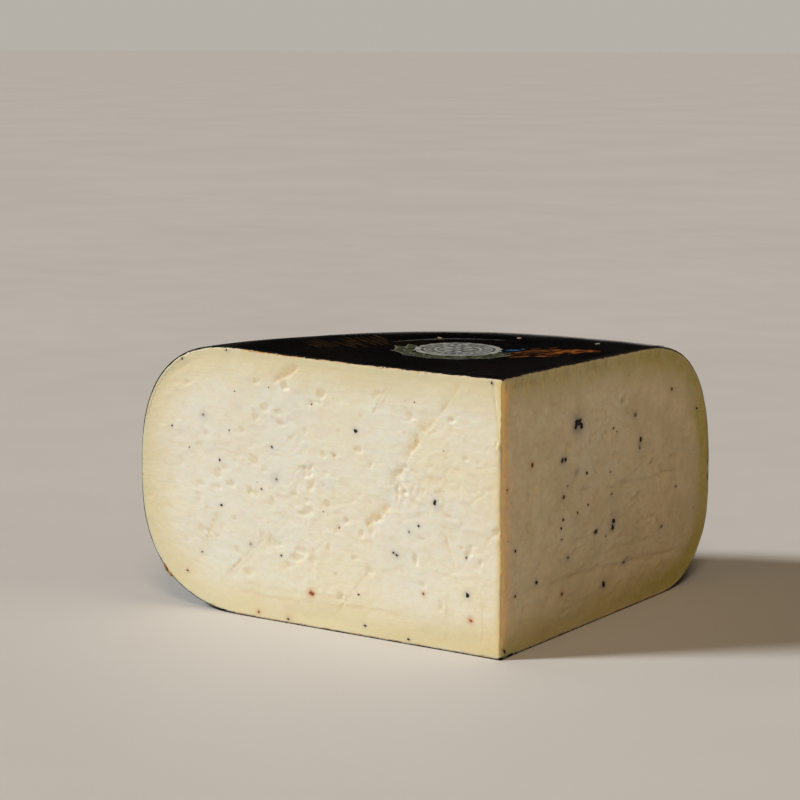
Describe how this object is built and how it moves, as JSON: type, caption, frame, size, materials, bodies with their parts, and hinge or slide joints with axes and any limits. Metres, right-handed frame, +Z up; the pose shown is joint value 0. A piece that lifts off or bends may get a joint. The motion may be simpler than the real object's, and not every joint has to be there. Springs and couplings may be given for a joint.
{
  "type": "quarter wheel of truffle gouda",
  "caption": "Quarter of a tall round cheese wheel with a dark coat, a printed top sheet and two pale cut faces flecked with truffle.",
  "frame": {"origin": "centre of the bounding box in plan, on the base the cheese stands on", "axes": "+Z up, along the wheel's axis; the wheel's axis is the sharp vertical edge at +X, -Y; the front cut faces -Y and the side cut faces +X"},
  "size_m": [0.176, 0.1714, 0.1105],
  "materials": {
    "paste": "firm pale cream cheese paste, satin where the wire cut it, slightly translucent",
    "black_coat": "thin satin black cheese coating with faint unevenness",
    "label_print": "thin black printed sheet, half gloss, with muted fields of colour",
    "truffle": "matt black and dark brown truffle flecks"
  },
  "bodies": {
    "root": {"truffle_gouda": "paste", "top_label": "label_print"}
  },
  "joints": []
}
